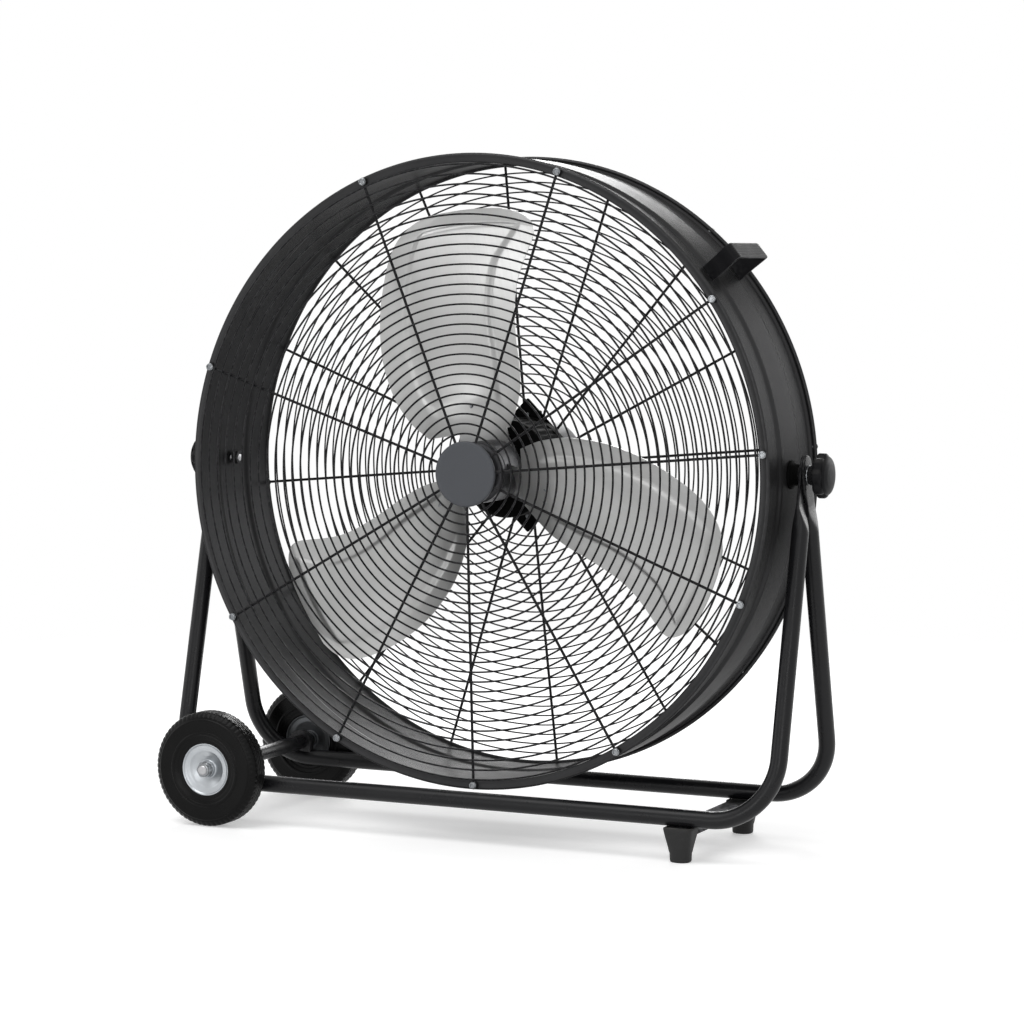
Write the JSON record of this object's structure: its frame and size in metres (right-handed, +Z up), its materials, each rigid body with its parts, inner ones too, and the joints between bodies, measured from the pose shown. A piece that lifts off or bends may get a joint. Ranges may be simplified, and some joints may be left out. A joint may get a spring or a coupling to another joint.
{
  "type": "drum fan",
  "caption": "Large wheeled drum fan: a steel drum with wire guards and a bladed impeller, tilting in a bent tube frame with feet and wheels.",
  "frame": {"origin": "on the floor, under the middle of the drum and of the axle", "axes": "+X along the tilt pivots, away from the wheels; the fan blows towards -Y; +Z up"},
  "size_m": [0.9182, 0.328, 0.884],
  "materials": {
    "frame_paint": "satin black powder coat",
    "drum_paint": "satin charcoal powder coat",
    "guard_paint": "satin black powder coat on wire",
    "motor_paint": "black enamel",
    "foot_rubber": "matte black rubber",
    "tyre_rubber": "matte black rubber",
    "zinc_steel": "bright zinc plate",
    "bare_steel": "bare steel",
    "nylon": "moulded nylon",
    "black_plastic": "fine-grained black plastic",
    "can_aluminium": "drawn can",
    "blade_aluminium": "rolled sheet",
    "cast_aluminium": "cast"
  },
  "bodies": {
    "frame": {"front_frame_tube": "frame_paint", "rear_frame_tube": "frame_paint", "foot_crossbar": "frame_paint", "front_foot": "foot_rubber", "rear_foot": "foot_rubber", "axle_tube": "frame_paint", "axle_rod": "zinc_steel", "axle_brackets": "frame_paint", "axle_washers": "zinc_steel", "axle_nuts": "zinc_steel", "knob_washers": "zinc_steel"},
    "front_wheel": {"front_tyre": "tyre_rubber", "front_wheel_rim": "zinc_steel", "front_wheel_bush": "nylon"},
    "rear_wheel": {"rear_tyre": "tyre_rubber", "rear_wheel_rim": "zinc_steel", "rear_wheel_bush": "nylon"},
    "drum": {"drum_shell": "drum_paint", "front_guard": "guard_paint", "rear_guard": "guard_paint", "guard_badge": "black_plastic", "front_guard_screws": "zinc_steel", "rear_guard_screws": "zinc_steel", "handle": "drum_paint", "handle_screws": "zinc_steel", "left_pivot_boss": "drum_paint", "right_pivot_boss": "drum_paint", "pivot_washers": "black_plastic", "pivot_nuts": "drum_paint", "motor_shell": "motor_paint", "motor_plate": "motor_paint", "spoke_clamps": "guard_paint", "clamp_screws": "zinc_steel", "stator": "bare_steel", "shaft_bearings": "bare_steel", "rear_cover": "motor_paint", "switch_body": "nylon", "capacitor": "can_aluminium", "cord_gland": "black_plastic"},
    "impeller": {"rotor_shaft": "bare_steel", "blade_hub": "cast_aluminium", "blade_1": "blade_aluminium", "blade_2": "blade_aluminium", "blade_3": "blade_aluminium", "blade_rivets": "blade_aluminium", "hub_screw": "zinc_steel"},
    "left_knob": {"left_tilt_knob": "black_plastic", "left_tilt_stud": "zinc_steel"},
    "right_knob": {"right_tilt_knob": "black_plastic", "right_tilt_stud": "zinc_steel"},
    "speed_dial": {"speed_knob": "black_plastic"}
  },
  "joints": [
    {"name": "front_wheel_spin", "type": "hinge", "parent": "frame", "child": "front_wheel", "pos_m": [-0.357, -0.14, 0.0762], "axis": [0, 1, 0], "continuous": true},
    {"name": "rear_wheel_spin", "type": "hinge", "parent": "frame", "child": "rear_wheel", "pos_m": [-0.357, 0.14, 0.0762], "axis": [0, 1, 0], "continuous": true},
    {"name": "drum_tilt", "type": "hinge", "parent": "frame", "child": "drum", "pos_m": [0, 0, 0.48003], "axis": [1, 0, 0], "range_deg": [-180, 180]},
    {"name": "impeller_spin", "type": "hinge", "parent": "drum", "child": "impeller", "pos_m": [0, 0, 0.47503], "axis": [0, 1, 0], "continuous": true},
    {"name": "left_knob_turn", "type": "hinge", "parent": "drum", "child": "left_knob", "pos_m": [-0.44, 0, 0.48003], "axis": [-1, 0, 0], "range_deg": [0, 360]},
    {"name": "right_knob_turn", "type": "hinge", "parent": "drum", "child": "right_knob", "pos_m": [0.44, 0, 0.48003], "axis": [1, 0, 0], "range_deg": [0, 360]},
    {"name": "speed_dial_turn", "type": "hinge", "parent": "drum", "child": "speed_dial", "pos_m": [0, 0.15, 0.47503], "axis": [0, 1, 0], "range_deg": [0, 270]}
  ]
}
